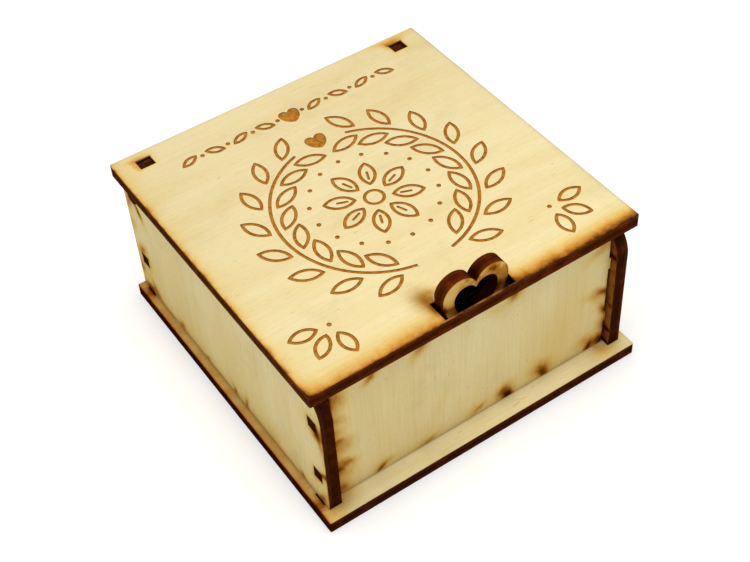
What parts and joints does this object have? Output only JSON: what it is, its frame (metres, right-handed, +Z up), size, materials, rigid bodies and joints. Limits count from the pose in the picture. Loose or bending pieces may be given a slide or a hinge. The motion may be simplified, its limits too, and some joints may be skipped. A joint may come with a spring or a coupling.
{
  "type": "keepsake box",
  "caption": "Square plywood keepsake box with tabbed walls on a base plate with a front ledge, an engraved lid on a rear hinge rail, and a heart tab that stands through a slot in the lid.",
  "frame": {"origin": "centre of the base plate's underside, on the surface the box stands on", "axes": "+Z up, the heart tab and the lid's opening edge face -Y, +X to the right seen from the front"},
  "size_m": [0.1084, 0.1118, 0.0633],
  "materials": {
    "birch_plywood": "unfinished birch plywood with laser-burnt brown edges and engraved lines"
  },
  "bodies": {
    "box": {"base_plate": "birch_plywood", "left_wall": "birch_plywood", "right_wall": "birch_plywood", "front_wall": "birch_plywood", "back_wall": "birch_plywood"},
    "lid": {"lid_panel": "birch_plywood", "hinge_rail": "birch_plywood"}
  },
  "joints": [
    {"name": "lid_hinge", "type": "hinge", "parent": "box", "child": "lid", "pos_m": [0, 0.0505, 0.045], "axis": [-1, 0, 0], "range_deg": [0, 94]}
  ]
}
